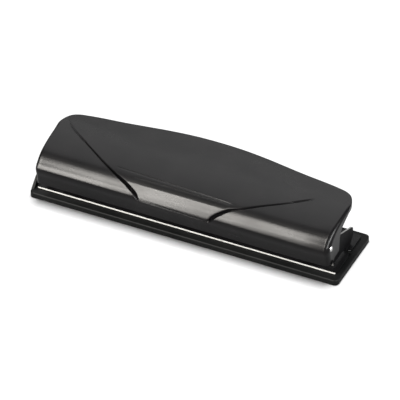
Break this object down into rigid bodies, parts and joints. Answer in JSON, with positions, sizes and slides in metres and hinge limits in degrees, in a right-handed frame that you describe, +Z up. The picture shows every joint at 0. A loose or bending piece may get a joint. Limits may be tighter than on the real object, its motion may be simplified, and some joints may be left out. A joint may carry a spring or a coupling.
{
  "type": "three hole punch",
  "caption": "Desktop paper punch: long moulded handle cover over a black steel base with a chip tray, front paper slot and spring-returned punches.",
  "frame": {"origin": "middle of the bounding box on the underside of the rubber feet, on the table", "axes": "+X along the length, to the right seen from the paper side; +Y to the rear; +Z up"},
  "size_m": [0.284, 0.079, 0.052],
  "materials": {
    "cover_plastic": "satin, fine texture",
    "tray_plastic": "semi-matt",
    "plate_steel": "satin black paint, bare sheared edges",
    "zinc": "zinc plated",
    "bright_steel": "bright",
    "rubber": "matt"
  },
  "bodies": {
    "frame": {"base_plate": "plate_steel", "rivets": "zinc", "left_hinge_bracket": "plate_steel", "right_hinge_bracket": "plate_steel", "left_hinge_pin": "bright_steel", "right_hinge_pin": "bright_steel", "hinge_clips": "bright_steel", "left_punch_bracket": "zinc", "center_punch_bracket": "zinc", "right_punch_bracket": "zinc"},
    "handle": {"handle_cover": "cover_plastic", "press_lever": "zinc", "cover_screws": "bright_steel"},
    "tray": {"chip_tray": "tray_plastic", "rubber_feet": "rubber"},
    "left_punch": {"left_punch_pin": "bright_steel", "left_retaining_ring": "bright_steel", "left_spring_washer": "zinc", "left_punch_spring": "bright_steel"},
    "center_punch": {"center_punch_pin": "bright_steel", "center_retaining_ring": "bright_steel", "center_spring_washer": "zinc", "center_punch_spring": "bright_steel"},
    "right_punch": {"right_punch_pin": "bright_steel", "right_retaining_ring": "bright_steel", "right_spring_washer": "zinc", "right_punch_spring": "bright_steel"}
  },
  "joints": [
    {"name": "handle_press", "type": "hinge", "parent": "frame", "child": "handle", "pos_m": [0, -0.03188, 0.035], "axis": [-1, 0, 0], "range_deg": [0, 18], "stiffness_Nm_per_rad": 0.9, "springref_deg": -34.38},
    {"name": "left_punch_slide", "type": "slide", "parent": "frame", "child": "left_punch", "axis": [0, 0, -1], "range_m": [0, 0.006], "deforming": ["left_punch_spring"]},
    {"name": "center_punch_slide", "type": "slide", "parent": "frame", "child": "center_punch", "axis": [0, 0, -1], "range_m": [0, 0.006], "deforming": ["center_punch_spring"]},
    {"name": "right_punch_slide", "type": "slide", "parent": "frame", "child": "right_punch", "axis": [0, 0, -1], "range_m": [0, 0.006], "deforming": ["right_punch_spring"]},
    {"name": "tray_release", "type": "slide", "parent": "frame", "child": "tray", "axis": [0, 0, -1], "range_m": [0, 0.03]}
  ],
  "couplings": [
    {"joint": "left_punch_slide", "follows": "handle_press", "m_per_rad": 0.019},
    {"joint": "center_punch_slide", "follows": "handle_press", "m_per_rad": 0.019},
    {"joint": "right_punch_slide", "follows": "handle_press", "m_per_rad": 0.019}
  ]
}
